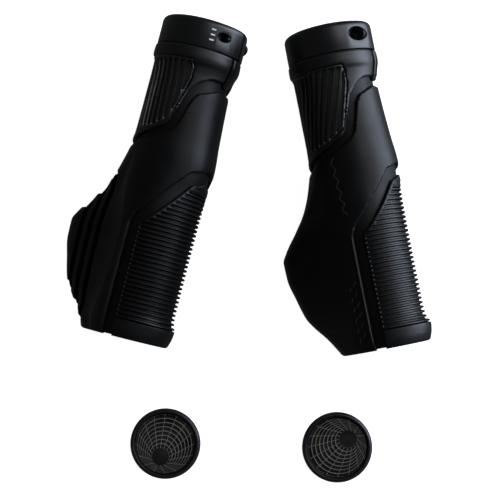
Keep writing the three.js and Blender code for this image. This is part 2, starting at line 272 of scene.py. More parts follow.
def skin_patch(x, angle, wraps, inside, seams, outer, inner):
    """The closed patch of skin on a lattice whose cells lie inside its seams.

    The vertices on its border move onto the nearest seam. outer(x, angle, d) gives its outer
    radius, d being the distance to the seam, and inner(x, angle) its inner radius.
    """
    x = x.copy()
    after = np.concatenate([angle[:, 1:], angle[:, :1] + 360], 1)
    centre_x = (x[:-1] + x[1:]) / 2
    centre_angle = (angle[:-1] + angle[1:] + after[:-1] + after[1:]) / 4
    if not wraps:
        centre_x, centre_angle = centre_x[:, :-1], centre_angle[:, :-1]
    kept = inside(centre_x, half_turn(centre_angle))

    rows, columns = x.shape
    count = np.zeros(x.shape, int)
    cell_rows, cell_columns = np.nonzero(kept)
    next_columns = (cell_columns + 1) % columns
    for r in (cell_rows, cell_rows + 1):
        for c in (cell_columns, next_columns):
            np.add.at(count, (r, c), 1)
    used = count > 0
    border = used & (count < 4)

    signed = (angle + 180) % 360 - 180
    half, side = np.abs(signed), np.where(signed < 0, -1, 1)
    bx, by = x[border], half[border] * MM_PER_DEGREE
    _, bx, by = nearest_on_seams(bx, by, seams)
    x[border], half[border] = bx, by / MM_PER_DEGREE
    angle = np.where(border, side * half, signed)
    distance = np.zeros(x.shape)
    distance[used], _, _ = nearest_on_seams(x[used], half[used] * MM_PER_DEGREE, seams)
    distance[border] = 0

    index = np.full(x.shape, -1)
    index[used] = np.arange(used.sum())
    total = used.sum()
    x, angle, distance = x[used], angle[used], distance[used]
    points = np.concatenate([
        polar(x, angle, outer(x, angle, distance)), polar(x, angle, inner(x, angle)),
    ])

    a = index[cell_rows, cell_columns]
    b = index[cell_rows, next_columns]
    c = index[cell_rows + 1, next_columns]
    d = index[cell_rows + 1, cell_columns]
    quads = [np.stack([a, b, c, d], 1), np.stack([d, c, b, a], 1) + total]
    padded = np.pad(kept, ((1, 1), (0, 0)))
    left = np.roll(kept, 1, axis=1) if wraps else np.pad(kept, ((0, 0), (1, 0)))[:, :-1]
    right = np.roll(kept, -1, axis=1) if wraps else np.pad(kept, ((0, 0), (0, 1)))[:, 1:]
    open_sides = [
        (~padded[:-2], a, b), (~padded[2:], c, d), (~left, d, a), (~right, b, c),
    ]
    for missing, p, q in open_sides:
        chosen = missing[cell_rows, cell_columns]
        p, q = p[chosen], q[chosen]
        quads.append(np.stack([p, p + total, q + total, q], 1))
    wear_and_highlight = np.concatenate([1 - ramp(distance, 0.1, 1.3), np.zeros(total)])
    return points, np.concatenate(quads), wear_and_highlight


def fillet(distance, radius):
    """How far the skin's edge drops at a distance from the seam."""
    inward = radius - np.minimum(distance, radius)
    return radius - np.sqrt(radius**2 - inward**2)


def revolve(profile, segments):
    """Points and quads of a closed profile of (x, radius) corners turned about x.

    segments is a number of equal steps or the angles themselves.
    """
    profile = np.array(profile, float)
    angles = np.arange(segments) * 360 / segments if np.isscalar(segments) else segments
    x, angle = np.meshgrid(profile[:, 0], angles, indexing="ij")
    radius = np.repeat(profile[:, 1][:, None], len(angles), axis=1)
    return polar(x, angle, radius).reshape(-1, 3), ring_quads(len(profile), len(angles))


def ring_quads(rows, columns):
    """Quads of a lattice that closes on itself both ways."""
    r, c = np.meshgrid(np.arange(rows), np.arange(columns), indexing="ij")
    r, c = r.ravel(), c.ravel()
    r1, c1 = (r + 1) % rows, (c + 1) % columns
    return np.stack([r * columns + c, r * columns + c1, r1 * columns + c1, r1 * columns + c], 1)


def rounded(points, radius, parts):
    """A closed profile with its corners rounded; a corner may state its own radius as a third.

    parts is the number of straight parts in each rounded corner.
    """
    result = []
    count = len(points)
    for i, corner in enumerate(points):
        here = np.array(corner[:2], float)
        before = np.array(points[i - 1][:2], float) - here
        after = np.array(points[(i + 1) % count][:2], float) - here
        size = corner[2] if len(corner) > 2 else radius
        reach = min(size, 0.45 * np.linalg.norm(before), 0.45 * np.linalg.norm(after))
        if reach < 1e-3:
            result.append(tuple(here))
            continue
        start = here + before / np.linalg.norm(before) * reach
        end = here + after / np.linalg.norm(after) * reach
        for t in np.linspace(0, 1, parts + 1):
            point = (1 - t) ** 2 * start + 2 * t * (1 - t) * here + t * t * end
            result.append(tuple(point))
    return result


# ---------------------------------------------------------------------------------------------
# Materials
# ---------------------------------------------------------------------------------------------
def node(tree, kind, **settings):
    """A new node, with the settings on its inputs or its own properties."""
    made = tree.nodes.new(kind)
    for key, value in settings.items():
        if key in made.inputs:
            made.inputs[key].default_value = value
        else:
            setattr(made, key, value)
    return made


def noise(tree, coordinates, scale, detail):
    """Noise of a scale per metre."""
    made = node(tree, "ShaderNodeTexNoise", Scale=scale, Detail=detail, Roughness=0.55)
    tree.links.new(coordinates, made.inputs["Vector"])
    return made.outputs["Fac"]


def remap(tree, value, from_min, from_max, to_min, to_max):
    """A value mapped from one range to another."""
    made = node(tree, "ShaderNodeMapRange")
    for socket, number in zip(("From Min", "From Max", "To Min", "To Max"),
                              (from_min, from_max, to_min, to_max)):
        made.inputs[socket].default_value = number
    tree.links.new(value, made.inputs["Value"])
    return made.outputs["Result"]


MOTTLE_SCALE = 90  # patches per metre, roughly
SHEEN_SPREAD = 0.05  # how far the roughness strays either way


def moulded(name, dark, light, roughness, grain, relief, wear_and_highlight=0.0, metallic=0.0, specular=0.35,
             mottling=0.75):
    """A moulded, grained surface: uneven tone and sheen, a fine grain, lighter worn edges, and on
    the plug disc a painted highlight on the rib tops.

    grain is the size of the grain in millimetres and relief its height in millimetres. The
    lightening weight is how much the piece's lightening mask brightens it towards the light
    colour: worn seam edges on the skins, and a painted highlight on the plug disc's rib tops.
    mottling is how uneven its tone is.
    """
    material = bpy.data.materials.new(name)
    material.use_nodes = True
    tree = material.node_tree
    shader = tree.nodes["Principled BSDF"]
    coordinates = node(tree, "ShaderNodeTexCoord").outputs["Object"]
    mottle = noise(tree, coordinates, MOTTLE_SCALE, 4)
    fine = noise(tree, coordinates, 1 / (MM * grain), 2)
    colour = node(tree, "ShaderNodeMix", data_type="RGBA")
    colour.inputs["A"].default_value = (*dark, 1)
    colour.inputs["B"].default_value = (*light, 1)
    share = remap(tree, mottle, 0.35, 0.65, 0, mottling)
    # The attribute mask lightens worn seam edges on the skins; on the plug disc it paints a
    # highlight on the rib tops.
    if wear_and_highlight:
        edge = node(tree, "ShaderNodeAttribute", attribute_name="wear_and_highlight").outputs["Fac"]
        wear_and_highlight_mix = node(tree, "ShaderNodeMath", operation="MULTIPLY_ADD")
        tree.links.new(edge, wear_and_highlight_mix.inputs[0])
        wear_and_highlight_mix.inputs[1].default_value = wear_and_highlight
        tree.links.new(share, wear_and_highlight_mix.inputs[2])
        share = wear_and_highlight_mix.outputs["Value"]
    tree.links.new(share, colour.inputs["Factor"])
    tree.links.new(colour.outputs["Result"], shader.inputs["Base Color"])
    sheen = remap(tree, mottle, 0.3, 0.7, roughness - SHEEN_SPREAD, roughness + SHEEN_SPREAD)
    tree.links.new(sheen, shader.inputs["Roughness"])
    bump = node(tree, "ShaderNodeBump", Strength=1.0, Distance=MM * relief)
    tree.links.new(fine, bump.inputs["Height"])
    tree.links.new(bump.outputs["Normal"], shader.inputs["Normal"])
    shader.inputs["Metallic"].default_value = metallic
    shader.inputs["Specular IOR Level"].default_value = specular
    return material


RUBBER_DARK, RUBBER_LIGHT = (0.0016, 0.0017, 0.0019), (0.0032, 0.0034, 0.0038)
RUBBER = moulded("panel_rubber", RUBBER_DARK, RUBBER_LIGHT, 0.44, 0.35, 0.022, wear_and_highlight=0.6,
                 specular=0.2)
COLLAR_RUBBER = moulded("collar_rubber", RUBBER_DARK, RUBBER_LIGHT, 0.46, 0.35, 0.022, wear_and_highlight=0.6,
                        specular=0.37)
RIB_RUBBER = moulded("ribbed_rubber", RUBBER_DARK, RUBBER_LIGHT, 0.45, 0.35, 0.008, wear_and_highlight=0.4,
                     specular=0.26, mottling=0.4)
THUMB_RUBBER = moulded("thumb_rubber", (0.0020, 0.0021, 0.0024), (0.0040, 0.0042, 0.0048), 0.40,
                       0.35, 0.008, wear_and_highlight=0.15, specular=0.75, mottling=0.4)
CORE_RUBBER = moulded("core_rubber", (0.0010, 0.0010, 0.0011), (0.0018, 0.0018, 0.0020), 0.55, 0.4,
                      0.012, specular=0.2)
# The marks are moulded in the same black rubber; their lighter tone is a painted glint on the
# relief.
MARK_RUBBER_PAINTED_GLINT = moulded("mark_rubber_painted_glint", (0.024, 0.024, 0.026), (0.036, 0.036, 0.040), 0.34, 0.4,
                      0.004)
SLEEVE_PLASTIC = moulded("sleeve_plastic", (0.003, 0.003, 0.0033), (0.006, 0.006, 0.0065), 0.45,
                         0.6, 0.008)
TONGUE_PLASTIC = moulded("tongue_plastic", (0.002, 0.002, 0.0022), (0.004, 0.004, 0.0045), 0.30,
                         0.4, 0.005)
RING_ALLOY = moulded("ring_alloy", (0.005, 0.0053, 0.0060), (0.009, 0.0095, 0.0105), 0.37, 0.12,
                     0.003, metallic=0.4, specular=0.65)
BOLT_STEEL = moulded("bolt_steel", (0.008, 0.008, 0.009), (0.02, 0.02, 0.022), 0.26, 0.2, 0.003,
                     metallic=0.8)
PLUG_PLASTIC = moulded("plug_plastic", (0.006, 0.0063, 0.0074), (0.011, 0.0116, 0.0136), 0.42,
                       0.3, 0.006)
# Its light colour is a painted highlight laid on the plug disc's rib tops; the dark colour is the
# disc's own.
PLUG_GLOSS_RIB_HIGHLIGHT = moulded("plug_gloss", (0.0045, 0.0026, 0.0018), (0.240, 0.220, 0.200), 0.22, 0.5,
                     0.003, wear_and_highlight=0.9, specular=0.3, mottling=0.08)
MARK_WHITE = moulded("mark_white", (0.55, 0.55, 0.55), (0.72, 0.72, 0.72), 0.5, 0.2, 0.003)
WHITE_FLOOR = moulded("floor_white", (0.90, 0.90, 0.90), (0.92, 0.92, 0.92), 0.8, 2.0, 0.01)

# ---------------------------------------------------------------------------------------------
# The grip's pieces
# ---------------------------------------------------------------------------------------------
END_SEAM = [(LENGTH, 0), (LENGTH, 180 * MM_PER_DEGREE)]
GROOVE_WIDTH = 2.6
GROOVE_DEPTH = 3.4
GROOVES = [(-18.2, 72, 130), (-23.2, 79, 124), (-28.2, 86, 117)]  # (y, first x, last x)
NOTCH_DEPTH = 1.6


def steps(low, high, size):
    """Even steps from low to high, about a size apart."""
    return np.linspace(low, high, max(2, round((high - low) / size) + 1))


def sunk(x, angle):
    """How much deeper the skin reaches under the wing, where the grooves are."""
    turn = np.asarray(angle, float) % 360
    round_bar = ramp(turn, 168, 180) * (1 - ramp(turn, 236, 250))
    return GROOVE_DEPTH * round_bar * ramp(x, 62, 74) * (1 - ramp(x, 128, 134))


def skin_inner(x, angle):
    """The inner radius of every skin."""
    return outline(x, angle, SKIN) - sunk(x, angle)


def terraces(x, angle):
    """How far the wing's edge is set back where a groove runs out through it."""
    turn = np.asarray(angle, float) % 360
    depth = 0.0
    for _, first, last in GROOVES:
        depth = depth + 1.3 * ramp(x, first - 9, first) * (x < first)
        depth = depth + 0.8 * ramp(last + 7 - x, 0, 7) * (x > last)
    return np.minimum(depth, NOTCH_DEPTH) * ramp(turn, 180, 187) * (1 - ramp(turn, 199, 206))


def under_wing(x, y):
    """The height of the wing's underside at a distance behind the axis."""
    angles = np.linspace(180, 268, 177)
    radius = outline(np.full(angles.shape, float(x)), angles)
    across, height = radius * np.cos(np.radians(angles)), radius * np.sin(np.radians(angles))
    start = int(np.argmin(across))
    return np.interp(y, across[start:], height[start:])


def groove_cutters(place):
    """Solids that follow the wing's underside and cut its lengthwise grooves."""
    made = []
    for centre, first, last in GROOVES:
        xs = steps(first - 4, last + 4, 1.0)
        points = []
        for x in xs:
            depth = GROOVE_DEPTH * ramp(x, first - 4, first - 2) * (1 - ramp(x, last + 2, last + 4))
            for y in (centre - GROOVE_WIDTH / 2, centre + GROOVE_WIDTH / 2):
                points += [(x, y, -40.0), (x, y, under_wing(x, y) + depth - 0.05)]
        quads = [(0, 1, 3, 2)]
        for i in range(len(xs) - 1):
            a, b = 4 * i, 4 * i + 4
            quads += [(a, b, b + 1, a + 1), (a + 1, b + 1, b + 3, a + 3),
                      (a + 3, b + 3, b + 2, a + 2), (a + 2, b + 2, b, a)]
        end = 4 * (len(xs) - 1)
        quads.append((end, end + 2, end + 3, end + 1))
        made.append(cutter(place, points, quads))
    return made


def palm_panel(side, place):
    """The smooth skin over the middle of the grip and its wing, with grooves on the underside."""

    def inside(x, half):
        under_fingers = (x > PALM_SIDE[0][0]) & (half < straight(PALM_SIDE, x))
        return (x > straight(PALM_EDGE, half)) & ~under_fingers

    def outer(x, angle, distance):
        edge = (half_turn(angle) - PALM_RIDGE) * MM_PER_DEGREE
        ridge = 0.35 * np.exp(-(((edge - 0.7) / 0.45) ** 2)) * ramp(x, 86, 91)
        ridge = ridge * ramp(LENGTH - x, 1.5, 4)
        return outline(x, angle) - fillet(distance, 0.7) + ridge - terraces(x, angle)

    seams = [unrolled(PALM_EDGE, True), unrolled(PALM_SIDE), END_SEAM]
    angles = round_the_bar((0, 93.5, 1.7), (93.5, PALM_RIDGE, 1), (PALM_RIDGE, 100.3, 0.6),
                           (100.3, 180, 1.7))
    points, quads, wear_and_highlight = skin_patch(
        *grid(steps(27, LENGTH, 0.5), angles), True, inside, seams, outer, skin_inner)
    piece = add_piece(f"{side}_palm_skin", place, points, quads, f"{side}_grip",
                      RUBBER, [f"{side}_palm_panel"], wear_and_highlight)
    cut_away(piece, groove_cutters(place))


def collar_panel(side, place):
    """The smooth frame round the thumb pad, next to the clamp ring."""
    start = RING_LENGTH + GAP
    slot = [(start - 1, TONGUE_SLOT), (TONGUE_END + 1, TONGUE_SLOT)]

    def inside(x, half):
        window = (x > THUMB_TOP) & (x < THUMB_SIDE[-1][0]) & (half > straight(THUMB_SIDE, x))
        return (x < straight(COLLAR_EDGE, half)) & ~window & (half > TONGUE_SLOT)

    def outer(x, angle, distance):
        return outline(x, angle) - fillet(distance, 0.4)

    window_top = [(THUMB_TOP, THUMB_SIDE[0][1]), (THUMB_TOP, 180)]
    seams = [unrolled(COLLAR_EDGE, True), unrolled(THUMB_SIDE), unrolled(window_top),
             unrolled(slot), [(start, 0), (start, 180 * MM_PER_DEGREE)]]
    xs = np.concatenate([steps(start, THUMB_TOP, 0.5), steps(THUMB_TOP, 57.5, 0.45)[1:]])
    points, quads, wear_and_highlight = skin_patch(
        *grid(xs, round_the_bar((0, TONGUE_SLOT, 1.6), (TONGUE_SLOT, 180, 1.5))), True, inside,
        seams, outer, skin_inner)
    add_piece(f"{side}_collar_skin", place, points, quads, f"{side}_grip",
              COLLAR_RUBBER, [f"{side}_collar_panel"], wear_and_highlight)


THUMB_END = 54.1
THUMB_PITCH = 10.0  # degrees round the bar between ribs
THUMB_FIRST = 40  # angle of the first rib at the top of the window
THUMB_RIBS = 28
THUMB_GROOVE = 1.05  # depth
LEAN = 0.80  # degrees that the rib at FAN_ANGLE turns per mm along the bar
FAN = 0.45  # how much less the rib at twice FAN_ANGLE turns
FAN_ANGLE = 120
THUMB_RIB_STEPS = np.array([0, 0.18, 0.28, 0.34, 0.39, 0.5, 0.61, 0.66, 0.72, 0.82])


def thumb_rib_pad(side, place):
    """The pad with slanting lengthwise ribs in the collar's window, smooth along its border."""
    margin = GAP / MM_PER_DEGREE
    edge = [(x, half + margin) for x, half in THUMB_SIDE[:-1]] + [(THUMB_END, 180)]
    top = THUMB_TOP + GAP

    def inside(x, half):
        return (x > top) & (x < THUMB_END) & (half > straight(edge, x))

    start = np.concatenate([THUMB_FIRST + THUMB_PITCH * (rib + THUMB_RIB_STEPS)
                            for rib in range(THUMB_RIBS)])
    x, start = grid(steps(top, THUMB_END + 0.1, 0.5), start)
    turn = LEAN - FAN * (start - FAN_ANGLE) / FAN_ANGLE
    angle = start + turn * (x - top)

    def outer(x, angle, distance):
        dx = x - top
        at = (np.asarray(angle) % 360 - (LEAN + FAN) * dx) / (1 - FAN / FAN_ANGLE * dx)
        phase = ((at - THUMB_FIRST) / THUMB_PITCH) % 1
        crest = ramp(0.5 - np.abs(phase - 0.5), 0.28, 0.39)
        valley = THUMB_GROOVE * (1 - crest) * ramp(distance, 0.4, 1.3)
        return outline(x, angle) - 0.15 - valley - fillet(distance, 0.25)

    seams = [unrolled(edge), unrolled([(top, edge[0][1]), (top, 180)])]
    points, quads, wear_and_highlight = skin_patch(x, angle, False, inside, seams, outer, skin_inner)
    add_piece(f"{side}_thumb_ribs", place, points, quads, f"{side}_grip",
              THUMB_RUBBER, [f"{side}_thumb_rib_pad"], wear_and_highlight)


RIB_PITCH = 1.9
RIBS_FROM = 70.6
RIB_COUNT = 30
RIB_GROOVE = 1.15  # depth
RIB_STEPS = np.array([0.14, 0.25, 0.36, 0.5, 0.64, 0.75, 0.86])


def finger_rib_pad(side, place):
    """The front pad with fine crosswise ribs and a smooth cuff at the outer end."""
    ribs_to = RIBS_FROM + RIB_COUNT * RIB_PITCH

    def inside(x, half):
        return (x > FINGER_EDGE[0][0]) & (half < straight(FINGER_EDGE, x))

    def outer(x, angle, distance):
        phase = np.abs(((x - RIBS_FROM) / RIB_PITCH) % 1 - 0.5)
        gap = ramp(phase, 0.20, 0.36)
        border = 0.6 + 0.9 * (1 - ramp(x, 84, 90))
        ribbed = gap * ramp(distance, border, border + 0.4) * (x > RIBS_FROM) * (x < ribs_to)
        rounding = 0.12 * ramp(phase, 0.1, 0.28)
        drop = RIB_GROOVE * ribbed + rounding * (x < ribs_to) + fillet(distance, 0.7)
        return outline(x, angle) - drop

    seams = [unrolled(FINGER_EDGE), END_SEAM]
    ribs = [RIBS_FROM + RIB_PITCH * (rib + RIB_STEPS) for rib in range(RIB_COUNT)]
    xs = np.concatenate([steps(FINGER_EDGE[0][0], RIBS_FROM, 0.3), *ribs,
                         steps(ribs_to + 0.05, LENGTH, 0.4)])
    angles = np.linspace(-FINGER_SIDE, FINGER_SIDE, 137)
    points, quads, wear_and_highlight = skin_patch(*grid(xs, angles), False, inside, seams, outer, skin_inner)
    add_piece(f"{side}_finger_ribs", place, points, quads, f"{side}_grip",
              RIB_RUBBER, [f"{side}_finger_rib_pad"], wear_and_highlight)


def front_tongue(side, place):
    """The proud tongue at the front between the clamp ring and the first channel."""
    start = RING_LENGTH + GAP

    def inside(x, half):
        return half < TONGUE_HALF

    def outer(x, angle, distance):
        proud = 0.7 * ramp(TONGUE_END - x, 0.5, 2.5)
        return outline(x, angle) + proud - fillet(distance, 0.8)

    seams = [unrolled([(start, TONGUE_HALF), (TONGUE_END, TONGUE_HALF)]),
             [(start, 0), (start, TONGUE_HALF)], [(TONGUE_END, 0), (TONGUE_END, TONGUE_HALF)]]
    angles = np.linspace(-TONGUE_HALF, TONGUE_HALF, 17)
    points, quads, wear_and_highlight = skin_patch(
        *grid(steps(start, TONGUE_END, 0.4), angles), False, inside, seams, outer, skin_inner)
    add_piece(f"{side}_tongue", place, points, quads, f"{side}_grip",
              TONGUE_PLASTIC, [f"{side}_front_tongue"], wear_and_highlight)


def grip_core(side, place):
    """The body under the panels: the channels' floor, and the seat of the bar end plug."""
    start, end = RING_LENGTH + GAP, LENGTH - 0.6
    xs = steps(start, end, 1.2)
    angles = np.arange(0, 360, 2.5)
    x, angle = np.meshgrid(xs, angles, indexing="ij")
    radius = outline(x, angle, SKIN + GAP) - sunk(x, angle)
    rings = [polar(x[i], angle[i], radius[i]) for i in range(len(xs))]
    seat = LENGTH - SEAT_DEPTH
    for at, size in ((end, SEAT_RADIUS + 0.3), (end - 0.3, SEAT_RADIUS), (seat, SEAT_RADIUS),
                     (seat, SLEEVE + GAP), (start, SLEEVE + GAP)):
        rings.append(polar(np.full(len(angles), at), angles, np.full(len(angles), size)))
    points = np.concatenate(rings)
    quads = ring_quads(len(rings), len(angles))
    add_piece(f"{side}_core_body", place, points, quads, f"{side}_grip", CORE_RUBBER,
              [f"{side}_grip_core"])


def inner_sleeve(side, place):
    """The hard tube on the bar, with the two keys that stop the clamp ring turning."""
    start, end = RING_LENGTH + GAP, LENGTH - SEAT_DEPTH
    key_half = math.degrees(KEY_WIDTH / 2 / SLEEVE)
    profile = rounded([(start, BORE), (start, SLEEVE), (end, SLEEVE), (end, BORE)], 0.3, 3)
    plain = np.arange(0, 360, 4.0)
    corners = np.array([c + s * key_half for c in (90, 270) for s in (-1.0, -0.97, 0.97, 1.0)])
    angles = np.sort(np.concatenate([plain, corners]))
    points, quads = revolve(profile, angles)
    turn = np.degrees(np.arctan2(points[:, 2], points[:, 1])) % 180
    keyed = (np.abs(turn - 90) < 0.99 * key_half) & (points[:, 0] < start + 0.4)
    points[keyed, 0] -= KEY_LENGTH
    add_piece(f"{side}_sleeve_tube", place, points, quads, f"{side}_grip",
              SLEEVE_PLASTIC, [f"{side}_inner_sleeve"])


def cutter(place, points, faces):
    """A temporary solid that cuts another one."""
    faces = [[int(corner) for corner in face] for face in faces]
    if place.mirrored:
        faces = [face[::-1] for face in faces]
    mesh = bpy.data.meshes.new("cutter")
    mesh.from_pydata(place.row(points).tolist(), [], faces)
    made = bpy.data.objects.new("cutter", mesh)
    SCENE.collection.objects.link(made)
    return made


def bolt_cutter(place, radius, low, high):
    """A round pin on the bolt's axis, from a low to a high z."""
    pin = bmesh.new()
    bmesh.ops.create_cone(pin, cap_ends=True, segments=64, radius1=radius, radius2=radius,
                          depth=high - low)
    points = np.array([v.co for v in pin.verts]) + (BOLT_X, BOLT_Y, (low + high) / 2)
    faces = [[v.index for v in face.verts] for face in pin.faces]
    pin.free()
    return cutter(place, points, faces)


def box_cutter(place, low, high):
    """A block between its low and its high corner."""
    x0, y0, z0 = low
    x1, y1, z1 = high
    points = [(x, y, z) for x in (x0, x1) for y in (y0, y1) for z in (z0, z1)]
    quads = [(0, 1, 3, 2), (4, 6, 7, 5), (0, 4, 5, 1), (2, 3, 7, 6), (0, 2, 6, 4), (1, 5, 7, 3)]
    return cutter(place, points, quads)


def cut_away(piece, cutters, bevel=0.0):
    """Cuts the solids out of a piece, breaks the sharp edges, and applies it all to the mesh."""
    for tool in cutters:
        modifier = piece.modifiers.new("cut", "BOOLEAN")
        modifier.operation = "DIFFERENCE"
        modifier.solver = "EXACT"
        modifier.object = tool
    if bevel:
        modifier = piece.modifiers.new("edge", "BEVEL")
        modifier.width = MM * bevel
        modifier.segments = 2
        modifier.limit_method = "ANGLE"
        modifier.angle_limit = math.radians(50)
        modifier.use_clamp_overlap = True
    bpy.context.view_layer.update()
    evaluated = piece.evaluated_get(bpy.context.evaluated_depsgraph_get())
    mesh = bpy.data.meshes.new_from_object(evaluated)
    piece.modifiers.clear()
    piece.data = mesh
    mesh.polygons.foreach_set("use_smooth", np.ones(len(mesh.polygons), bool))
    mesh.set_sharp_from_angle(angle=math.radians(35))
    for tool in cutters:
        bpy.data.objects.remove(tool)


def ring_radius(angle):
    """The clamp ring's outer radius, with a low lobe over the bolt."""
    from_front = np.minimum(half_turn(angle) / LOBE_HALF_ANGLE, 1)
    return RING_RADIUS + RING_LOBE * np.cos(math.pi / 2 * from_front) ** 2


def clamp_ring(side, place):
    """The anodised ring, slit at the front and bored for its bolt."""
    turns = np.radians(np.linspace(0, 90, 9))
    edges = [(RING_EDGE * (1 - math.cos(t)), RING_EDGE * (math.sin(t) - 1)) for t in turns]
    edges += [(RING_LENGTH - 0.4, 0), (RING_LENGTH - 0.12, -0.12), (RING_LENGTH, -0.4)]
    angles = np.arange(0, 360, 2.5)
    rings = [polar(np.full(len(angles), x), angles, ring_radius(angles) + rise)
             for x, rise in edges]
    for x, radius in ((RING_LENGTH, BORE + 0.3), (RING_LENGTH - 0.3, BORE), (0.3, BORE),
                      (0, BORE + 0.3)):
        rings.append(polar(np.full(len(angles), x), angles, np.full(len(angles), radius)))
    quads = ring_quads(len(rings), len(angles))
    piece = add_piece(f"{side}_ring", place, np.concatenate(rings), quads, f"{side}_ring",
                      RING_ALLOY, [f"{side}_clamp_ring"])
    notch = KEY_WIDTH / 2 + GAP
    notch_end = RING_LENGTH - KEY_LENGTH - GAP
    cut_away(piece, [
        box_cutter(place, (-1, 5, -SLIT / 2), (RING_LENGTH + 1, 25, SLIT / 2)),
        bolt_cutter(place, BOLT_HOLE, -20, 20),
        bolt_cutter(place, COUNTERBORE, BOLT_SEAT, 20),
        box_cutter(place, (notch_end, -notch, 8), (RING_LENGTH + 1, notch, SLEEVE + GAP)),
        box_cutter(place, (notch_end, -notch, -SLEEVE - GAP), (RING_LENGTH + 1, notch, -8)),
    ], bevel=0.12)


def ribbons(strokes, radius_at, width, height):
    """Raised strokes on a surface, each a run of (x, angle) points, as points and quads."""
    points, quads = [], []
    for stroke in strokes:
        stroke = np.array(stroke, float)
        flat = np.stack([stroke[:, 0], stroke[:, 1] * MM_PER_DEGREE], 1)
        run = np.gradient(flat, axis=0)
        run /= np.linalg.norm(run, axis=1)[:, None]
        side = np.stack([-run[:, 1], run[:, 0]], 1) * width / 2
        base = len(points)
        for here, across in zip(flat, side):
            for sign, lift in ((-1, -0.3), (-1, height), (1, height), (1, -0.3)):
                x, y = here + sign * across
                angle = y / MM_PER_DEGREE
                points.append(polar(x, angle, radius_at(x, angle) + lift))
        quads.append((base, base + 1, base + 2, base + 3))
        for i in range(len(stroke) - 1):
            a, b = base + 4 * i, base + 4 * i + 4
            quads += [(a + k, b + k, b + (k + 1) % 4, a + (k + 1) % 4) for k in range(4)]
        end = base + 4 * (len(stroke) - 1)
        quads.append((end + 3, end + 2, end + 1, end))
    return np.array(points, float), np.array(quads)[:, ::-1]


def palm_marks(side, place):
    """A fine zigzag and rows of slashes moulded on top of the wing, as (x, angle) points."""
    zigzag = [(55 + 2.4 * i, 104 - 0.5 * i + (2.8 if i % 2 else -2.8)) for i in range(11)]
    slashes = [[(106 + 4.2 * row + 2 * column, 104 + 7 * column), (108 + 4.2 * row + 2 * column,
                107.5 + 7 * column)] for row in range(6) for column in range(2)]
    strokes = [[a, ((a[0] + b[0]) / 2, (a[1] + b[1]) / 2), b] for a, b in zip(zigzag, zigzag[1:])]
    points, quads = ribbons(strokes + slashes, outline, 0.45, 0.25)
    # The lighter mark material paints a glint on the moulded strokes.
    add_piece(f"{side}_palm_marks", place, points, quads, f"{side}_grip",
              MARK_RUBBER_PAINTED_GLINT)


def ring_marks(side, place):
    """Three plain white ticks beside the bolt's hole on the underside of the ring."""
    ticks = [[(x, -52.5), (x, -50.5), (x, -48.5), (x, -46.5)] for x in (4.0, 6.2, 8.4)]
    points, quads = ribbons(ticks, lambda x, angle: ring_radius(angle), 0.6, 0.04)
    add_piece(f"{side}_ring_ticks", place, points, quads, f"{side}_ring", MARK_WHITE)


def bolt_frame(place):
    """The frame of the bolt, whose x axis runs up through its head."""
    x, y, z = place.axes
    origin = place.row((BOLT_X, BOLT_Y, 0))
    return Place(origin, (z, y, -x) if place.mirrored else (z, x, y))


def clamp_bolt(side, place):
    """A hex socket head cap screw with a cut thread."""
    at = bolt_frame(place)
    top = HEAD_FOOT + HEAD_HEIGHT
    angles = np.arange(0, 360, 7.5)
    rings = [(BOLT_END, 0.02), (BOLT_END, 1.0), (BOLT_END + 0.35, THREAD_ROOT)]
    thread = np.arange(BOLT_END + 0.5, HEAD_FOOT - 2.2, THREAD_PITCH / 6)
    rest = [(HEAD_FOOT - 2.0, SHANK_RADIUS), (HEAD_FOOT, SHANK_RADIUS),
            (HEAD_FOOT, HEAD_RADIUS - 0.15), (HEAD_FOOT + 0.15, HEAD_RADIUS),
            (top - 0.35, HEAD_RADIUS), (top, HEAD_RADIUS - 0.35), (top, 0.02)]
    rows = [np.full(len(angles), radius) for _, radius in rings]
    places = [x for x, _ in rings]
    for x in thread:
        phase = (x / THREAD_PITCH - angles / 360) % 1
        rows.append(THREAD_ROOT + (SHANK_RADIUS - THREAD_ROOT) * (1 - np.abs(2 * phase - 1)))
        places.append(x)
    rows += [np.full(len(angles), radius) for _, radius in rest]
    places += [x for x, _ in rest]
    points = np.concatenate([polar(np.full(len(angles), x), angles, radius)
                             for x, radius in zip(places, rows)])
    piece = add_piece(f"{side}_cap_screw", at, points, ring_quads(len(rows), len(angles)),
                      f"{side}_bolt", BOLT_STEEL, [f"{side}_clamp_bolt"])
    hexagon = SOCKET_FLATS / 2 / math.cos(math.pi / 6)
    floor_at = top - SOCKET_DEPTH
    socket, sides = revolve([(floor_at, 0.01), (floor_at, hexagon), (top + 1, hexagon),
                             (top + 1, 0.01)], 6)
    cut_away(piece, [cutter(at, socket, sides)], bevel=0.1)


def bolt_washer(side, place):
    """The washer under the bolt's head."""
    at = bolt_frame(place)
    foot, top = BOLT_SEAT + GAP, BOLT_SEAT + GAP + WASHER_THICKNESS
    profile = rounded([(foot, WASHER_BORE), (foot, HEAD_RADIUS), (top, HEAD_RADIUS),
                       (top, WASHER_BORE)], 0.12, 3)
    points, quads = revolve(profile, 48)
    add_piece(f"{side}_flat_washer", at, points, quads, f"{side}_washer", BOLT_STEEL,
              [f"{side}_bolt_washer"])


def build_grip(side):
    """One grip with its clamp."""
    place = grip_place(side)
    grip_core(side, place)
    inner_sleeve(side, place)
    collar_panel(side, place)
    thumb_rib_pad(side, place)
    palm_panel(side, place)
    finger_rib_pad(side, place)
    front_tongue(side, place)
    palm_marks(side, place)
    clamp_ring(side, place)
    ring_marks(side, place)
    clamp_bolt(side, place)
    bolt_washer(side, place)


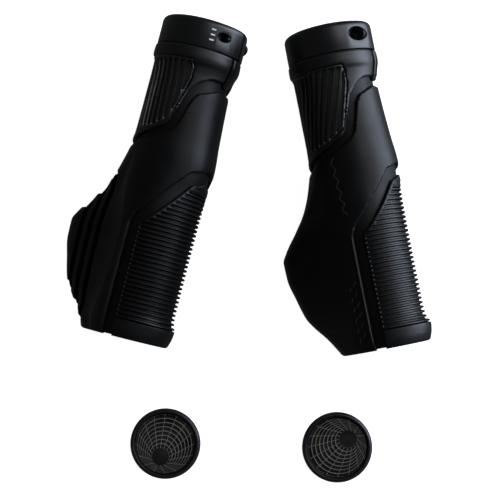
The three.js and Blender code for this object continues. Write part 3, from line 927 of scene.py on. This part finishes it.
# ---------------------------------------------------------------------------------------------
# The bar end plugs, turned about z
# ---------------------------------------------------------------------------------------------
CAP_RADIUS = 14.65
CAP_RIM = 1.8
STEM_LENGTH = 14.0
STEM_RADIUS = 8
STEM_BORE = 6
BORE_DEPTH = 12
BARB_RADIUS = 9.25
CAP_TOP = 18.0
FACE_DEPTH = 1.6
BARB_HEIGHTS = (3.5, 7.0, 10.5)
HUBS = {"left": (-2.0, -5.3), "right": (4.4, 3.4)}  # middle of the face's blank hub, in mm
HUB_RADIUS = 3.6
SPOKES = 16
FACE_RINGS = 8
FACE_RELIEF = 0.3
FACE_RIB = 0.065  # half a rib's width on top
RIB_PROFILE = ((-2 * FACE_RIB, 0), (-FACE_RIB, 1), (FACE_RIB, 1), (2 * FACE_RIB, 0))


def plug_place(side):
    """The frame of a plug, whose x axis runs up from the foot of its stem."""
    low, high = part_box(f"{side}_plug_body")
    origin = ((low[0] + high[0]) / 2, (low[1] + high[1]) / 2, low[2])
    return Place(origin, ((0, 0, 1), (1, 0, 0), (0, 1, 0)))


def plug_body(side, place):
    """The cap and its hollow stem with three soft barbs."""
    corners = [(BORE_DEPTH, 0.02, 0), (BORE_DEPTH, STEM_BORE, 0.8), (0, STEM_BORE, 0.4),
               (0, STEM_RADIUS, 0.5)]
    for height in BARB_HEIGHTS:
        corners += [(height - 1.6, STEM_RADIUS, 0.2), (height, BARB_RADIUS, 0.25),
                    (height + 0.7, STEM_RADIUS, 0.2)]
    corners += [(STEM_LENGTH, STEM_RADIUS, 0.5), (STEM_LENGTH, CAP_RADIUS - 0.4, 0.4),
                (CAP_TOP - 1.5, CAP_RADIUS, 0.8), (CAP_TOP, CAP_RADIUS - 1, 0.5),
                (CAP_TOP, CAP_RADIUS - CAP_RIM, 0.3),
                (CAP_TOP - FACE_DEPTH, CAP_RADIUS - CAP_RIM - 0.3, 0.2),
                (CAP_TOP - FACE_DEPTH, 0.02, 0)]
    points, quads = revolve(rounded(corners, 0.3, 4), 120)
    add_piece(f"{side}_plug_shell", place, points, quads, f"{side}_plug",
              PLUG_PLASTIC, [f"{side}_plug_body"])


def plug_face(side, place):
    """The glossy disc, with raised ribs that run out from a blank hub and rings round it."""
    radius = CAP_RADIUS - CAP_RIM - 2 * GAP
    hub = np.array(HUBS[side])
    foot = CAP_TOP - FACE_DEPTH + GAP
    level = CAP_TOP - 0.6 - FACE_RELIEF
    reach = radius - HUB_RADIUS
    shares, ring_height = [], []
    for k in range(FACE_RINGS + 1):
        for offset, high in RIB_PROFILE:
            share = k / FACE_RINGS + offset / reach
            if 0 <= share <= 1:
                shares.append(share)
                ring_height.append(high)
    spokes, spoke_height = [], []
    for k in range(SPOKES):
        for offset, high in RIB_PROFILE:
            spokes.append((k, offset))
            spoke_height.append(high)
        spokes += [(k + share, 0.0) for share in (0.25, 0.5, 0.75)]
        spoke_height += [0, 0, 0]
    rows, raised = [], []
    for share, high in zip(shares, ring_height):
        size = HUB_RADIUS + reach * share
        turn = np.array([2 * math.pi * k / SPOKES + offset / size for k, offset in spokes])
        edge = 1 if share > 0.999 else 0
        ribs = np.maximum(high, np.array(spoke_height)) * (1 - edge)
        raised.append(ribs)
        height = level + FACE_RELIEF * ribs
        middle = hub * (1 - share)
        rows.append(np.stack([height, middle[0] + size * np.cos(turn),
                              middle[1] + size * np.sin(turn)], 1))
    turn = np.array([2 * math.pi * k / SPOKES + offset / radius for k, offset in spokes])
    rim = np.stack([np.cos(turn), np.sin(turn)], 1)
    hub_rim = rows[0][:, 1:]
    column = np.ones((len(turn), 1))
    hub_top = level + 0.2
    rows += [np.hstack([foot * column, radius * rim]), np.hstack([foot * column, 0.02 * rim + hub]),
             np.hstack([hub_top * column, 0.02 * rim + hub]),
             np.hstack([hub_top * column, hub + 0.985 * (hub_rim - hub)])]
    raised += [np.zeros(len(turn))] * 4
    points = np.concatenate(rows)
    quads = ring_quads(len(rows), len(turn))
    # The rib heights double as the lightening mask, so the rib tops get a painted highlight.
    add_piece(f"{side}_plug_disc", place, points, quads[:, ::-1], f"{side}_plug",
              PLUG_GLOSS_RIB_HIGHLIGHT, [f"{side}_plug_face"], np.concatenate(raised))


for end in ("left", "right"):
    build_grip(end)
    plug_body(end, plug_place(end))
    plug_face(end, plug_place(end))

# ---------------------------------------------------------------------------------------------
# Floor, light and camera
# ---------------------------------------------------------------------------------------------
FLOOR_REACH = 2.0
FLOOR_LEVEL = -0.0004
FLOOR_GLOW = 0.95
CAMERA_AT = (0.0009, -0.0404, 0.618)
CAMERA_TARGET = (0.0009, -0.0008, 0.018)
LENS = 104


def floor():
    """A plain white floor, as bright as the photograph's background."""
    shader = WHITE_FLOOR.node_tree.nodes["Principled BSDF"]
    shader.inputs["Emission Color"].default_value = (1, 1, 1, 1)
    shader.inputs["Emission Strength"].default_value = FLOOR_GLOW
    corners = [(FLOOR_REACH * x, FLOOR_REACH * y, FLOOR_LEVEL)
               for x, y in ((-1, -1), (1, -1), (1, 1), (-1, 1))]
    mesh = bpy.data.meshes.new("floor")
    mesh.from_pydata(corners, [], [(0, 1, 2, 3)])
    mesh.materials.append(WHITE_FLOOR)
    made = bpy.data.objects.new("floor", mesh)
    SCENE.collection.objects.link(made)
    made.visible_shadow = False
    made.visible_glossy = False  # the grips' flanks stay dark, as against a distant backdrop


def area_light(name, position, target, size, power, colour):
    """A soft rectangular light of a size in metres and a power in watts."""
    data = bpy.data.lights.new(name, "AREA")
    data.shape = "RECTANGLE"
    data.size, data.size_y = size
    data.energy = power
    data.color = colour
    made = bpy.data.objects.new(name, data)
    made.location = position
    made.rotation_euler = (Vector(target) - Vector(position)).to_track_quat("-Z", "Y").to_euler()
    SCENE.collection.objects.link(made)


def camera():
    """The photograph's camera."""
    data = bpy.data.cameras.new("camera")
    data.lens = LENS
    data.sensor_width = 36
    made = bpy.data.objects.new("camera", data)
    position, target = Vector(CAMERA_AT), Vector(CAMERA_TARGET)
    made.location = position
    made.rotation_euler = (target - position).to_track_quat("-Z", "Y").to_euler()
    SCENE.collection.objects.link(made)
    SCENE.camera = made


def light():
    """A dim studio, a wide key light low on the right and a weak one from above."""
    world = bpy.data.worlds.new("studio")
    world.use_nodes = True
    background = world.node_tree.nodes["Background"]
    background.inputs["Color"].default_value = (0.94, 0.97, 1.0, 1)
    background.inputs["Strength"].default_value = 0.10
    SCENE.world = world
    area_light("key", (0.90, 0.32, 0.20), (0, 0, 0.12), (0.8, 0.9), 18, (0.76, 0.85, 1.0))
    area_light("top", (0.6, 0.5, 1.0), (0, 0, 0), (0.5, 0.5), 3, (1.0, 1.0, 1.0))


floor()
light()
camera()
SCENE.view_settings.view_transform = "Standard"
